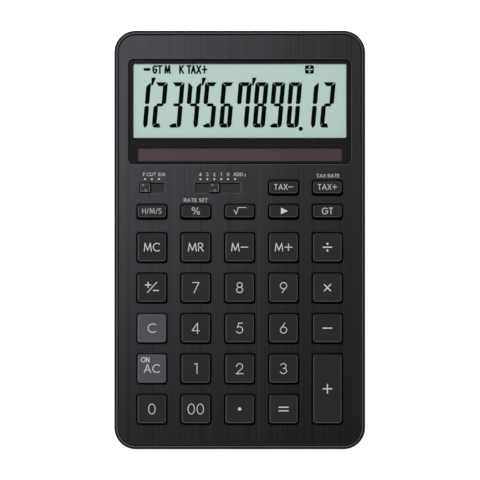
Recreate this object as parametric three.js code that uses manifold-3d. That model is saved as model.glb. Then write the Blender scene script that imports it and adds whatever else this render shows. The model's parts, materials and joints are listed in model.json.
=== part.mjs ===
// A slim solar and battery desk calculator: a brushed metal plate on a two-part plastic case, 31 rubber-dome keys
// and two slide switches. Millimetres, +Z up, +Y towards the display, origin under the middle of the case on the
// plane that its feet stand on.
import * as THREE from "three";
import { mergeVertices } from "three/addons/utils/BufferGeometryUtils.js";
import Module from "manifold-3d";

const wasm = await Module();
wasm.setup();

// ---- Driving dimensions -------------------------------------------------------------------------------------

const CASE = { width: 110, length: 183.5, corner: 9.5, wall: 1.6 };
const AIR = 0.05; // between two pieces that touch
const OVERLAP = 0.1; // how far two solids that are joined run into each other
const CUT = 1; // how far a cutting tool passes the face that it cuts
const MIN_CORNER = 0.2;
const TOP_BEVEL = { plan: 1.1, height: 1.3, steps: 2 };
const BOTTOM_BEVEL = { plan: 3.0, height: 3.2, steps: 3 };

// Heights above the desk, from the feet up.
const LEVEL = {
  caseBottom: 0.8,
  floorTop: 2.2,
  boardBottom: 3.05,
  boardTop: 3.95,
  sheetTop: 4.7,
  parting: 5.2,
  domeTop: 6.75,
  flangeBottom: 6.9,
  flangeTop: 7.7,
  webBottom: 7.9,
  ledgeTop: 8.2,
  slotFloor: 8.5,
  bezelTop: 8.65,
  webTop: 9.15,
  windowTop: 9.5,
  plateTop: 9.7,
  rimTop: 9.9,
  knobTop: 10.2,
  keyTop: 10.8,
};

const GROOVE = { outerInset: 1.65, plateInset: 2.05 };
const LIP = { height: 0.75, thickness: 0.6, gap: 0.1 };

const DISPLAY = {
  opening: { width: 97.6, length: 46.1, corner: 2.2, y: 56.2 },
  ledge: 1.1,
  gap: 0.25,
  lcdAperture: { width: 93.4, length: 32.7, corner: 0.6, y: 61.0 },
  solarAperture: { width: 89.4, length: 5.9, corner: 0.4, y: 37.5 },
};

// Keys: the cap's foot is inside its hole by the play, and its top is smaller by the draft.
const KEY = {
  pitchX: 19.2,
  hole: 13.5,
  smallHole: 6.9,
  play: 0.3,
  draft: 0.3,
  chamferHeight: 0.5,
  corner: 1.2,
  flange: 0.6,
  skin: 1.2,
  post: 4,
};
const LARGE_ROWS = { first: -3.4, pitch: 17.7 };
const SMALL_ROW_Y = { upper: 22.8, lower: 12.3 };
const DOME = { large: { foot: 4.2, top: 2.6 }, small: { foot: 3.2, top: 2.2 }, wall: 0.7, sides: 6 };
const DOME_SHEET = { side: 49, front: -80, back: 29, notchRight: 6, notchFront: 17.4 };

const SWITCH = { y: 22.85, step: 3.03, slotWidth: 4.55, endPlay: 0.06, sidePlay: 0.15, slit: 1.4, slitPlay: 0.2 };
const KNOB = { width: 4.8, corner: 0.4, lift: 0.1, stem: 2.4, foot: { width: 4, length: 3 } };
const SWITCHES = [
  { name: "rounding", x: -38.4, stops: 3, rest: 0 },
  { name: "decimal", x: -9.6, stops: 6, rest: 2 },
];

const SCREW = { x: 48.5, y: 85, head: 2.0, headHeight: 0.65, shaft: 0.85, tipGap: 1.2 };
const SCREW_SEAT = { bore: 2.3, depth: 0.7, hole: 1.1, boss: 2.4, gap: 0.15, pilot: 0.9, pilotEnd: 0.6 };
const FOOT = { x: 42, y: 77, radius: 4.5, recess: 0.5, gap: 0.2, round: 0.3 };

const CELL = { x: 22, y: 58, radius: 10, thickness: 2.5, bottom: 2.3, rim: 1.4, capSlope: 0.4, capHeight: 0.4 };
const COVER = { width: 32, length: 29, corner: 1.5, thickness: 0.85, gap: 0.2, opening: 24 };
const COVER_SCREW = { inset: 2, head: 1.7, headHeight: 0.5, shaft: 0.8, tipGap: 0.6, boss: 2 };
const COVER_TAB = { width: 4, reach: 1.4, z0: 1.2, z1: 1.6, y: 8, play: 0.1 };

const LCD = { width: 98, back: 78.9, front: 43.6, rearFront: 42, glass: 1 };
const CONNECTOR = { width: 80, front: 42.2, back: 44.4 };
const SOLAR = { width: 92, length: 8.2, thickness: 1, leadX: -34 };

const BOARD = { width: 100, length: 161, y: -0.5, corner: 2, cellGap: 1.6 };
const BOARD_POST = { radius: 1.6, columns: [-44, 0, 44], rows: [-66, -30, 6, 30] };
const CHIP = { x: -24, y: 64, profile: [[0, 0], [6, 0], [5.2, 0.45], [3, 0.8], [0, 0.9]] };

// ---- Materials ----------------------------------------------------------------------------------------------

const finish = (color, roughness, metalness = 0) =>
  new THREE.MeshStandardMaterial({ color, roughness, metalness });
const MATERIAL = {
  plate: finish(0x38383b, 0.38, 0.9),
  caseBlack: finish(0x1b1b1d, 0.5),
  bezel: finish(0x1c1b1e, 0.35),
  keyBlack: finish(0x2a2a2c, 0.55),
  keyGrey: finish(0x515155, 0.55),
  knob: finish(0x2b2b2d, 0.5),
  window: finish(0xdfe6e6, 0.05),
  lcd: finish(0xb2c7c2, 0.3),
  solar: finish(0x4a3e3f, 0.25),
  board: finish(0x1f5a38, 0.6),
  silicone: finish(0xb9b9b4, 0.7),
  epoxy: finish(0x111111, 0.4),
  rubber: finish(0x151515, 0.9),
  steel: finish(0xb8b8b8, 0.3, 1),
  cell: finish(0xc8c8c8, 0.25, 1),
  flex: finish(0xc77a2c, 0.5),
};

// ---- Shapes -------------------------------------------------------------------------------------------------

// A rectangle with round corners, centred on x, y.
function roundedRectangle(width, length, corner, x = 0, y = 0) {
  const shape = new THREE.Shape();
  const right = width / 2 - corner;
  const top = length / 2 - corner;
  shape.absarc(x + right, y - top, corner, -Math.PI / 2, 0);
  shape.absarc(x + right, y + top, corner, 0, Math.PI / 2);
  shape.absarc(x - right, y + top, corner, Math.PI / 2, Math.PI);
  shape.absarc(x - right, y - top, corner, Math.PI, 1.5 * Math.PI);
  return shape;
}

// A geometry's closed surface as a solid that can be cut and joined.
function solidOf(geometry) {
  const bare = geometry.clone();
  bare.deleteAttribute("normal");
  bare.deleteAttribute("uv");
  const merged = mergeVertices(bare, 1e-4);
  return new wasm.Manifold(
    new wasm.Mesh({
      numProp: 3,
      vertProperties: merged.attributes.position.array,
      triVerts: new Uint32Array(merged.index.array),
    }),
  );
}

function geometryOf(solid) {
  const made = solid.getMesh();
  const points = new Float32Array(made.numVert * 3);
  for (let i = 0; i < made.numVert; i++) {
    points.set(made.vertProperties.subarray(i * made.numProp, i * made.numProp + 3), i * 3);
  }
  const geometry = new THREE.BufferGeometry();
  geometry.setAttribute("position", new THREE.BufferAttribute(points, 3));
  geometry.setIndex(new THREE.BufferAttribute(made.triVerts, 1));
  geometry.computeVertexNormals();
  return geometry;
}

// A plate of that outline from z0 up to z1.
function slab(shape, z0, z1, cornerSteps = 2) {
  const geometry = new THREE.ExtrudeGeometry(shape, {
    depth: z1 - z0,
    bevelEnabled: false,
    curveSegments: cornerSteps,
  });
  return solidOf(geometry.translate(0, 0, z0));
}

// A slab whose top and bottom edges are rounded off inside the outline.
function bevelledSlab(shape, z0, z1, bevel, cornerSteps) {
  const geometry = new THREE.ExtrudeGeometry(shape, {
    depth: z1 - z0 - 2 * bevel.height,
    bevelThickness: bevel.height,
    bevelSize: bevel.plan,
    bevelOffset: -bevel.plan,
    bevelSegments: bevel.steps,
    curveSegments: cornerSteps,
  });
  return solidOf(geometry.translate(0, 0, z0 + bevel.height));
}

function box(x0, x1, y0, y1, z0, z1) {
  const geometry = new THREE.BoxGeometry(x1 - x0, y1 - y0, z1 - z0);
  return solidOf(geometry.translate((x0 + x1) / 2, (y0 + y1) / 2, (z0 + z1) / 2));
}

// A block of that size centred on x, y, from z0 up to z1.
function block(width, length, z0, z1, x = 0, y = 0) {
  return box(x - width / 2, x + width / 2, y - length / 2, y + length / 2, z0, z1);
}

// A body of revolution about the upright line through x, y. The profile is [radius, z] from the axis back to it.
function turned(profile, x, y, sides = 16) {
  const points = profile.map(([radius, z]) => new THREE.Vector2(radius, z));
  const geometry = new THREE.LatheGeometry(points, sides);
  return solidOf(geometry.rotateX(Math.PI / 2).translate(x, y, 0));
}

function disc(radius, z0, z1, x, y, sides = 16) {
  return turned([[0, z0], [radius, z0], [radius, z1], [0, z1]], x, y, sides);
}

// A bent strip of sheet: its side view is the closed outline of [along, z] points, and its width is across.
function bentStrip(outline, width) {
  const shape = new THREE.Shape(outline.map(([along, z]) => new THREE.Vector2(along, z)));
  const geometry = new THREE.ExtrudeGeometry(shape, { depth: width, bevelEnabled: false });
  return geometry.rotateX(Math.PI / 2).translate(0, width / 2, 0);
}

const caseOutline = (inset) =>
  roundedRectangle(CASE.width - 2 * inset, CASE.length - 2 * inset, CASE.corner - inset);
const CASE_STEPS = 4;

const cornersOf = (x, y) => [
  ["front_left", -x, -y],
  ["front_right", x, -y],
  ["back_left", -x, y],
  ["back_right", x, y],
];

// ---- Key layout ---------------------------------------------------------------------------------------------

const column = (index) => (index - 2) * KEY.pitchX;
const largeRow = (index) => LARGE_ROWS.first - index * LARGE_ROWS.pitch;

// Every key with its middle and the size of its hole.
const KEYS = [
  ...layRow(SMALL_ROW_Y.upper, KEY.smallHole, [null, null, null, "tax_minus", "tax_plus"]),
  ...layRow(SMALL_ROW_Y.lower, KEY.smallHole, [
    "hours_minutes_seconds",
    "percent",
    "square_root",
    "backspace",
    "grand_total",
  ]),
  ...layRow(largeRow(0), KEY.hole, ["memory_clear", "memory_recall", "memory_minus", "memory_plus", "divide"]),
  ...layRow(largeRow(1), KEY.hole, ["sign_change", "7", "8", "9", "multiply"]),
  ...layRow(largeRow(2), KEY.hole, ["clear", "4", "5", "6", "minus"]),
  ...layRow(largeRow(3), KEY.hole, ["all_clear", "1", "2", "3", null]),
  ...layRow(largeRow(4), KEY.hole, ["0", "00", "decimal_point", "equals", null]),
  {
    name: "key_plus",
    x: column(4),
    y: (largeRow(3) + largeRow(4)) / 2,
    length: KEY.hole + LARGE_ROWS.pitch,
  },
];

function layRow(y, length, names) {
  return names.flatMap((name, index) => (name ? [{ name: "key_" + name, x: column(index), y, length }] : []));
}

// How far along a key its domes lie from its middle: the tall key presses two, and each other key one.
const domeOffsets = (keyLength) =>
  keyLength > KEY.hole ? [-LARGE_ROWS.pitch / 2, LARGE_ROWS.pitch / 2] : [0];

const keyHole = (key) => roundedRectangle(KEY.hole, key.length, KEY.corner, key.x, key.y);

const slotLength = (lever) => (lever.stops - 1) * SWITCH.step + KNOB.width + 2 * SWITCH.endPlay;
const slotTool = (lever, z0, z1) =>
  block(slotLength(lever), SWITCH.slotWidth, z0, z1, lever.x, SWITCH.y);
const knobX = (lever) => lever.x + (lever.rest - (lever.stops - 1) / 2) * SWITCH.step;

function openingOutline(rectangle, shrink = 0) {
  return roundedRectangle(
    rectangle.width - 2 * shrink,
    rectangle.length - 2 * shrink,
    Math.max(rectangle.corner - shrink, MIN_CORNER),
    0,
    rectangle.y,
  );
}

const subtractAll = (solid, tools) => tools.reduce((rest, tool) => rest.subtract(tool), solid);
const addAll = (solid, pieces) => pieces.reduce((whole, piece) => whole.add(piece), solid);

// ---- Case ---------------------------------------------------------------------------------------------------

function facePlate() {
  const bottom = LEVEL.webTop + AIR;
  const through = [bottom - CUT, LEVEL.plateTop + CUT];
  return subtractAll(slab(caseOutline(GROOVE.plateInset), bottom, LEVEL.plateTop, CASE_STEPS), [
    slab(openingOutline(DISPLAY.opening), ...through),
    ...KEYS.map((key) => slab(keyHole(key), ...through, 1)),
    ...SWITCHES.map((lever) => slotTool(lever, ...through)),
  ]);
}

function upperCase() {
  const below = LEVEL.caseBottom;
  const bottom = LEVEL.parting + LIP.gap / 2;
  const shell = bevelledSlab(caseOutline(0), below, LEVEL.rimTop, TOP_BEVEL, CASE_STEPS)
    .subtract(block(CASE.width + CUT, CASE.length + CUT, below - CUT, bottom))
    .subtract(slab(caseOutline(GROOVE.outerInset), LEVEL.webTop, LEVEL.rimTop + CUT, CASE_STEPS))
    .subtract(slab(caseOutline(CASE.wall), bottom - CUT, LEVEL.webBottom, CASE_STEPS));
  const rebate = slab(
    caseOutline(CASE.wall - LIP.thickness - LIP.gap),
    bottom - CUT,
    LEVEL.parting + LIP.height + LIP.gap,
    CASE_STEPS,
  );
  const through = [LEVEL.webBottom - CUT, LEVEL.webTop + CUT];
  const tools = [
    rebate,
    slab(openingOutline(DISPLAY.opening, DISPLAY.ledge), ...through),
    slab(openingOutline(DISPLAY.opening), LEVEL.ledgeTop, LEVEL.webTop + CUT),
    ...KEYS.map((key) => block(KEY.hole, key.length, ...through, key.x, key.y)),
    ...SWITCHES.map((lever) => slotTool(lever, LEVEL.slotFloor, LEVEL.webTop + CUT)),
    ...SWITCHES.map(switchSlit),
  ];
  const bosses = cornersOf(SCREW.x, SCREW.y).map(([, x, y]) =>
    disc(SCREW_SEAT.boss, LEVEL.floorTop + SCREW_SEAT.gap, LEVEL.webBottom + OVERLAP, x, y),
  );
  const pilots = cornersOf(SCREW.x, SCREW.y).map(([, x, y]) =>
    disc(SCREW_SEAT.pilot, LEVEL.floorTop - CUT, LEVEL.webBottom - SCREW_SEAT.pilotEnd, x, y, 12),
  );
  return subtractAll(addAll(subtractAll(shell, tools), bosses), pilots);
}

// The long narrow hole in a slot's floor that the knob's stem runs in.
function switchSlit(lever) {
  const length = (lever.stops - 1) * SWITCH.step + KNOB.stem + 2 * SWITCH.slitPlay;
  return block(length, SWITCH.slit, LEVEL.webBottom - CUT, LEVEL.slotFloor + OVERLAP, lever.x, SWITCH.y);
}

function lowerCase() {
  const top = LEVEL.parting - LIP.gap / 2;
  const above = LEVEL.keyTop;
  const shell = bevelledSlab(caseOutline(0), LEVEL.caseBottom, above, BOTTOM_BEVEL, CASE_STEPS)
    .subtract(block(CASE.width + CUT, CASE.length + CUT, top, above + CUT))
    .subtract(slab(caseOutline(CASE.wall), LEVEL.floorTop, top + CUT, CASE_STEPS));
  const lipOutline = caseOutline(CASE.wall - LIP.thickness);
  lipOutline.holes = [caseOutline(CASE.wall)];
  const lip = slab(lipOutline, top - OVERLAP, LEVEL.parting + LIP.height, CASE_STEPS);
  const screwTools = cornersOf(SCREW.x, SCREW.y).flatMap(([, x, y]) => [
    disc(SCREW_SEAT.bore, LEVEL.caseBottom - CUT, LEVEL.caseBottom + SCREW_SEAT.depth, x, y),
    disc(SCREW_SEAT.hole, LEVEL.caseBottom - CUT, LEVEL.floorTop + CUT, x, y, 12),
  ]);
  const footTools = cornersOf(FOOT.x, FOOT.y).map(([, x, y]) =>
    disc(FOOT.radius + FOOT.gap, LEVEL.caseBottom - CUT, LEVEL.caseBottom + FOOT.recess, x, y),
  );
  const posts = BOARD_POST.rows.flatMap((y) =>
    BOARD_POST.columns.map((x) =>
      disc(BOARD_POST.radius, LEVEL.floorTop - OVERLAP, LEVEL.boardBottom - AIR, x, y, 6),
    ),
  );
  return subtractAll(addAll(shell.add(lip), [...posts, coverBoss()]), [
    ...screwTools,
    ...footTools,
    ...batteryTools(),
  ]);
}

// ---- Battery compartment ------------------------------------------------------------------------------------

const coverScrewX = CELL.x - COVER.width / 2 + COVER_SCREW.inset;

function coverBoss() {
  return disc(COVER_SCREW.boss, LEVEL.floorTop - OVERLAP, LEVEL.boardBottom - AIR, coverScrewX, CELL.y, 12);
}

const coverTab = (side, play) => {
  const edge = CELL.x + COVER.width / 2;
  const y = CELL.y + side * COVER_TAB.y;
  const half = COVER_TAB.width / 2 + play;
  return box(edge - 1, edge + COVER_TAB.reach + play, y - half, y + half, COVER_TAB.z0 - play, COVER_TAB.z1 + play);
};

function batteryTools() {
  const { width, length, corner, gap, thickness, opening } = COVER;
  const recess = roundedRectangle(width + 2 * gap, length + 2 * gap, corner + gap, CELL.x, CELL.y);
  return [
    slab(recess, LEVEL.caseBottom - CUT, LEVEL.caseBottom + thickness + AIR),
    block(opening, opening, LEVEL.caseBottom, LEVEL.floorTop + CUT, CELL.x, CELL.y),
    disc(COVER_SCREW.shaft + AIR, LEVEL.caseBottom, LEVEL.boardBottom + CUT, coverScrewX, CELL.y, 12),
    ...[-1, 1].map((side) => coverTab(side, COVER_TAB.play)),
  ];
}

function batteryCover() {
  const { width, length, corner, thickness, gap } = COVER;
  const { head, headHeight, shaft } = COVER_SCREW;
  const outline = roundedRectangle(width, length, corner, CELL.x, CELL.y);
  const plate = slab(outline, LEVEL.caseBottom, LEVEL.caseBottom + thickness);
  return subtractAll(addAll(plate, [-1, 1].map((side) => coverTab(side, 0))), [
    disc(head + gap, LEVEL.caseBottom - CUT, LEVEL.caseBottom + headHeight + AIR, coverScrewX, CELL.y),
    disc(shaft + gap, LEVEL.caseBottom - CUT, LEVEL.caseBottom + thickness + CUT, coverScrewX, CELL.y, 12),
  ]);
}

// A coin cell: the wide can, and the smaller cap that faces the board's contact.
function coinCell() {
  const { radius, bottom, thickness, rim, capSlope, capHeight } = CELL;
  const profile = [
    [0, bottom],
    [radius, bottom],
    [radius, bottom + thickness - capHeight],
    [radius - rim, bottom + thickness - capHeight],
    [radius - rim - capSlope, bottom + thickness],
    [0, bottom + thickness],
  ];
  return turned(profile, 0, 0, 24);
}

// A leaf from the board over the middle of the cell, for its negative cap.
function negativeContact() {
  const sheet = 0.12;
  const board = LEVEL.boardTop + AIR;
  const over = CELL.bottom + CELL.thickness + 0.04;
  const [start, rise, end] = [-15.5, -12.2, 1];
  return bentStrip(
    [
      [start, board],
      [rise, board],
      [rise + 0.8, over],
      [end, over],
      [end, over + sheet],
      [rise + 0.7, over + sheet],
      [rise - 0.1, board + sheet],
      [start, board + sheet],
    ],
    6,
  );
}

// A leaf from the board down beside the cell, against the rim of its can.
function positiveContact() {
  const sheet = 0.15;
  const board = LEVEL.boardTop + AIR;
  const wall = CELL.radius + 0.3;
  const low = CELL.bottom + 0.3;
  return bentStrip(
    [
      [wall, low],
      [wall + sheet, low],
      [wall + sheet, board],
      [wall + 5, board],
      [wall + 5, board + sheet],
      [wall, board + sheet],
    ],
    5,
  );
}

// ---- Display and power --------------------------------------------------------------------------------------

const lcdTop = LEVEL.webBottom - AIR;

// The black mask on the opening's ledge, with an aperture each for the glass and the solar cell.
function displayBezel() {
  const shape = openingOutline(DISPLAY.opening, DISPLAY.gap);
  shape.holes = [openingOutline(DISPLAY.lcdAperture), openingOutline(DISPLAY.solarAperture)];
  return slab(shape, LEVEL.ledgeTop + AIR, LEVEL.bezelTop);
}

const displayWindow = () =>
  slab(openingOutline(DISPLAY.opening, DISPLAY.gap), LEVEL.bezelTop + AIR, LEVEL.windowTop);

// Two sheets of glass. The rear one reaches further forward, and carries the contacts.
function lcdPanel() {
  const { width, back, front, rearFront, glass } = LCD;
  const middle = lcdTop - glass;
  const face = box(-width / 2, width / 2, front, back, middle, lcdTop);
  return face.add(box(-width / 2, width / 2, rearFront, back, middle - glass, middle));
}

const solarCell = () => block(SOLAR.width, SOLAR.length, lcdTop - SOLAR.thickness, lcdTop);

// The striped rubber strip that joins the glass's contacts to the board's.
function lcdConnector() {
  const { width, front, back } = CONNECTOR;
  return box(-width / 2, width / 2, front, back, LEVEL.boardTop + AIR, lcdTop - 2 * LCD.glass - AIR);
}

// A flat flexible lead from the back of the solar cell down to the board.
function solarLead() {
  const sheet = 0.15;
  const [top, board] = [lcdTop - SOLAR.thickness - AIR, LEVEL.boardTop + AIR];
  const [near, bend, far] = [-4.5, -1.5, 2];
  return bentStrip(
    [
      [near, board],
      [bend + sheet, board],
      [bend + sheet, top - sheet],
      [far, top - sheet],
      [far, top],
      [bend, top],
      [bend, board + sheet],
      [near, board + sheet],
    ],
    4,
  ).rotateZ(Math.PI / 2);
}

// ---- Board and domes ----------------------------------------------------------------------------------------

function mainBoard() {
  const shape = roundedRectangle(BOARD.width, BOARD.length, BOARD.corner, 0, BOARD.y);
  const cellHole = new THREE.Path();
  cellHole.absarc(CELL.x, CELL.y, CELL.radius + BOARD.cellGap, 0, 2 * Math.PI);
  shape.holes = [cellHole];
  return slab(shape, LEVEL.boardBottom, LEVEL.boardTop, 6);
}

// The blob of black resin over the bare chip.
function processorChip() {
  const base = LEVEL.boardTop + AIR;
  return turned(CHIP.profile.map(([radius, height]) => [radius, base + height]), 0, 0);
}

// One dome, or with a wall's thickness off all round, the hollow in it.
function dome({ foot, top }, bottom, inset, x, y) {
  const roof = LEVEL.domeTop - inset;
  const profile = [
    [0, bottom],
    [foot - inset, bottom],
    [foot - inset, LEVEL.sheetTop],
    [top - inset, roof],
    [0, roof],
  ];
  return turned(profile, x, y, DOME.sides);
}

// One sheet of silicone with a hollow dome under each key, cut away where the slide switches are.
function domeSheet() {
  const bottom = LEVEL.boardTop + AIR;
  const { side, front, back, notchRight, notchFront } = DOME_SHEET;
  const sheet = box(-side, side, front, back, bottom, LEVEL.sheetTop);
  const notch = box(-side - CUT, notchRight, notchFront, back + CUT, bottom - CUT, LEVEL.sheetTop + CUT);
  const places = KEYS.flatMap((key) =>
    domeOffsets(key.length).map((offset) => ({
      size: key.length < KEY.hole ? DOME.small : DOME.large,
      x: key.x,
      y: key.y + offset,
    })),
  );
  const domes = places.map(({ size, x, y }) => dome(size, bottom + OVERLAP, 0, x, y));
  const hollows = places.map(({ size, x, y }) => dome(size, bottom - CUT, DOME.wall, x, y));
  return subtractAll(addAll(sheet.subtract(notch), domes), hollows);
}

// ---- Keys and switches --------------------------------------------------------------------------------------

// A hollow cap with a flange that keeps it in, and a post over each of its domes.
function keyCap(holeLength) {
  const { hole, play, draft, chamferHeight, corner, flange, skin, post } = KEY;
  const [width, length] = [hole - 2 * play, holeLength - 2 * play];
  const chamfer = { plan: draft, height: chamferHeight, steps: 1 };
  const ceiling = LEVEL.keyTop - skin;
  const outline = roundedRectangle(width, length, corner);
  const cap = bevelledSlab(outline, LEVEL.flangeTop - chamferHeight, LEVEL.keyTop, chamfer, 1);
  const ring = block(hole + 2 * flange, holeLength + 2 * flange, LEVEL.flangeBottom, LEVEL.flangeTop);
  const hollow = block(width - 2 * skin, length - 2 * skin, LEVEL.flangeBottom - CUT, ceiling);
  const postLength = holeLength < hole ? post / 2 : post;
  const posts = domeOffsets(holeLength).map((y) =>
    block(post, postLength, LEVEL.flangeBottom, ceiling + OVERLAP, 0, y),
  );
  return addAll(cap.add(ring).subtract(hollow), posts);
}

// A grip that runs in the slot, a stem through its floor and a foot that keeps it in.
function switchKnob() {
  const outline = roundedRectangle(KNOB.width, SWITCH.slotWidth - 2 * SWITCH.sidePlay, KNOB.corner);
  const bevel = { plan: 0.25, height: 0.3, steps: 1 };
  const gripBottom = LEVEL.slotFloor + KNOB.lift;
  const grip = bevelledSlab(outline, gripBottom, LEVEL.knobTop, bevel, 1);
  const stemWidth = SWITCH.slit - 2 * SWITCH.sidePlay;
  const stem = block(KNOB.stem, stemWidth, LEVEL.flangeBottom, gripBottom + OVERLAP);
  const foot = block(KNOB.foot.width, KNOB.foot.length, LEVEL.flangeBottom, LEVEL.flangeTop);
  return grip.add(stem).add(foot);
}

// The springy contact under a knob's foot, which wipes over the board's pads.
function switchWiper() {
  const sheet = 0.15;
  const top = LEVEL.flangeBottom - AIR;
  const low = LEVEL.boardTop + AIR;
  const half = KNOB.stem / 2 + 0.6;
  return bentStrip(
    [
      [-half, top],
      [-half, top - sheet],
      [half - 0.4, top - sheet],
      [-0.4, low + sheet],
      [-0.2, low],
      [0.2, low],
      [half, top - sheet],
      [half, top],
    ],
    2.6,
  );
}

// ---- Fasteners and feet -------------------------------------------------------------------------------------

function screw(head, shaft, headTop, tip) {
  const bottom = LEVEL.caseBottom + AIR;
  const profile = [
    [0, bottom],
    [head, bottom],
    [head, headTop],
    [shaft, headTop],
    [shaft, tip],
    [0, tip + shaft / 2],
  ];
  return turned(profile, 0, 0, 12);
}

const caseScrew = () =>
  screw(SCREW.head, SCREW.shaft, LEVEL.caseBottom + SCREW.headHeight, LEVEL.webBottom - SCREW.tipGap);

function coverScrew() {
  const { head, shaft, headHeight, tipGap } = COVER_SCREW;
  return screw(head, shaft, LEVEL.caseBottom + headHeight, LEVEL.boardBottom - tipGap);
}

function rubberFoot() {
  const { radius, recess, round } = FOOT;
  const top = LEVEL.caseBottom + recess - AIR;
  return turned([[0, 0], [radius - round, 0], [radius, round], [radius, top], [0, top]], 0, 0);
}

// ---- Assembly -----------------------------------------------------------------------------------------------

const calculator = new THREE.Group();
calculator.name = "desk_calculator";

function subassembly(name) {
  const group = new THREE.Group();
  group.name = name;
  calculator.add(group);
  return group;
}

// Adds one piece, given as a solid or as a finished geometry, with its own origin at x, y.
function place(group, name, material, made, x = 0, y = 0) {
  const geometry = made.isBufferGeometry ? made : geometryOf(made);
  const mesh = new THREE.Mesh(geometry, material);
  mesh.name = name;
  mesh.position.set(x, y, 0);
  group.add(mesh);
}

const housing = subassembly("housing");
place(housing, "face_plate", MATERIAL.plate, facePlate());
place(housing, "upper_case", MATERIAL.caseBlack, upperCase());
place(housing, "lower_case", MATERIAL.caseBlack, lowerCase());
for (const [corner, x, y] of cornersOf(SCREW.x, SCREW.y)) {
  place(housing, "case_screw_" + corner, MATERIAL.steel, caseScrew(), x, y);
}
for (const [corner, x, y] of cornersOf(FOOT.x, FOOT.y)) {
  place(housing, "foot_" + corner, MATERIAL.rubber, rubberFoot(), x, y);
}

const display = subassembly("display");
place(display, "display_bezel", MATERIAL.bezel, displayBezel());
place(display, "display_window", MATERIAL.window, displayWindow());
place(display, "lcd_panel", MATERIAL.lcd, lcdPanel());
place(display, "lcd_connector", MATERIAL.silicone, lcdConnector());

const power = subassembly("power");
place(power, "solar_cell", MATERIAL.solar, solarCell(), 0, DISPLAY.solarAperture.y);
place(power, "solar_lead", MATERIAL.flex, solarLead(), SOLAR.leadX, DISPLAY.solarAperture.y);
place(power, "coin_cell", MATERIAL.cell, coinCell(), CELL.x, CELL.y);
place(power, "battery_contact_negative", MATERIAL.steel, negativeContact(), CELL.x, CELL.y);
place(power, "battery_contact_positive", MATERIAL.steel, positiveContact(), CELL.x, CELL.y);
place(power, "battery_cover", MATERIAL.caseBlack, batteryCover());
place(power, "cover_screw", MATERIAL.steel, coverScrew(), coverScrewX, CELL.y);

const electronics = subassembly("electronics");
place(electronics, "main_board", MATERIAL.board, mainBoard());
place(electronics, "processor_chip", MATERIAL.epoxy, processorChip(), CHIP.x, CHIP.y);
place(electronics, "dome_sheet", MATERIAL.silicone, domeSheet());

const keyboard = subassembly("keyboard");
for (const key of KEYS) {
  const grey = key.name === "key_clear" || key.name === "key_all_clear";
  place(keyboard, key.name, grey ? MATERIAL.keyGrey : MATERIAL.keyBlack, keyCap(key.length), key.x, key.y);
}

const switches = subassembly("switches");
for (const lever of SWITCHES) {
  place(switches, lever.name + "_knob", MATERIAL.knob, switchKnob(), knobX(lever), SWITCH.y);
  place(switches, lever.name + "_wiper", MATERIAL.steel, switchWiper(), knobX(lever), SWITCH.y);
}

export default calculator;
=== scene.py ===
"""The looks of a slim desk calculator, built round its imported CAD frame.

Sizes are in millimetres, in the frame's axes, until a mesh is made.
"""

import json
import math
from typing import NamedTuple

import bmesh
import bpy
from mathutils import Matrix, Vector
from mathutils.geometry import tessellate_polygon


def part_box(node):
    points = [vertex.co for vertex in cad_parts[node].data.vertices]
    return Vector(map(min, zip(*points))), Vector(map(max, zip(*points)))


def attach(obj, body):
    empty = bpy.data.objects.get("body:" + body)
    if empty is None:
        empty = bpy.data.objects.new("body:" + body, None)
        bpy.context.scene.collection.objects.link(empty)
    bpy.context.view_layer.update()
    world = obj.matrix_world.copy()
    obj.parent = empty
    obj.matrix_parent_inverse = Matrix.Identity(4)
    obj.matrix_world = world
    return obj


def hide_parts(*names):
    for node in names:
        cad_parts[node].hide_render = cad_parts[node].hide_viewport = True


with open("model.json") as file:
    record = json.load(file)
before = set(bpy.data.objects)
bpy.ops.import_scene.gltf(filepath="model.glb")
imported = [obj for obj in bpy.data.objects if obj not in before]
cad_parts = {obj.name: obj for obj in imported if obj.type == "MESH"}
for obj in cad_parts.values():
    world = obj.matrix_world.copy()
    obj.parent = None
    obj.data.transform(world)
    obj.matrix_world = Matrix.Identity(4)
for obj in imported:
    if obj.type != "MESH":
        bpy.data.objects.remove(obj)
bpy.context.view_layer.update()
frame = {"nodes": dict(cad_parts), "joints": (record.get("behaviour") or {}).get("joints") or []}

MM = 0.001
CASE = "case"


# ---- The frame's own sizes ---------------------------------------------------


def box_mm(node):
    """A CAD node's lowest and highest corners at rest."""
    low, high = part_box(node)
    return Vector(low) / MM, Vector(high) / MM


def middle(node):
    low, high = box_mm(node)
    return (low + high) / 2


CASE_CORNER = 9.5
PLATE_CORNER = 7.45
KEY_FLANGE = 0.6
HOLE_CORNER = 1.25
DISPLAY_CORNER = 2.2

KEYS = [name for name in frame["nodes"] if name.startswith("key_")]
SWITCHES = ("rounding", "decimal")
CORNERS = ("front_left", "front_right", "back_left", "back_right")


# ---- Outlines ----------------------------------------------------------------


MIN_CORNER = 0.05


class Rect(NamedTuple):
    """A rectangle with round corners."""

    width: float
    length: float
    corner: float
    x: float = 0.0
    y: float = 0.0

    def grown(self, by):
        corner = max(self.corner + by, MIN_CORNER)
        return self._replace(width=self.width + 2 * by, length=self.length + 2 * by, corner=corner)

    def points(self, steps=8):
        """Its outline, anticlockwise from the right end of the far right corner."""
        points = []
        for quarter, (side_x, side_y) in enumerate(((1, 1), (-1, 1), (-1, -1), (1, -1))):
            centre_x = self.x + side_x * (self.width / 2 - self.corner)
            centre_y = self.y + side_y * (self.length / 2 - self.corner)
            for step in range(steps + 1):
                angle = math.pi / 2 * (quarter + step / steps)
                points.append(
                    (centre_x + self.corner * math.cos(angle), centre_y + self.corner * math.sin(angle))
                )
        return points


def rect_of(node, corner, grow=0.0):
    """The rectangle that a CAD node fills in plan."""
    low, high = box_mm(node)
    centre = (low + high) / 2
    return Rect(high.x - low.x, high.y - low.y, corner, centre.x, centre.y).grown(grow)


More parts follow.
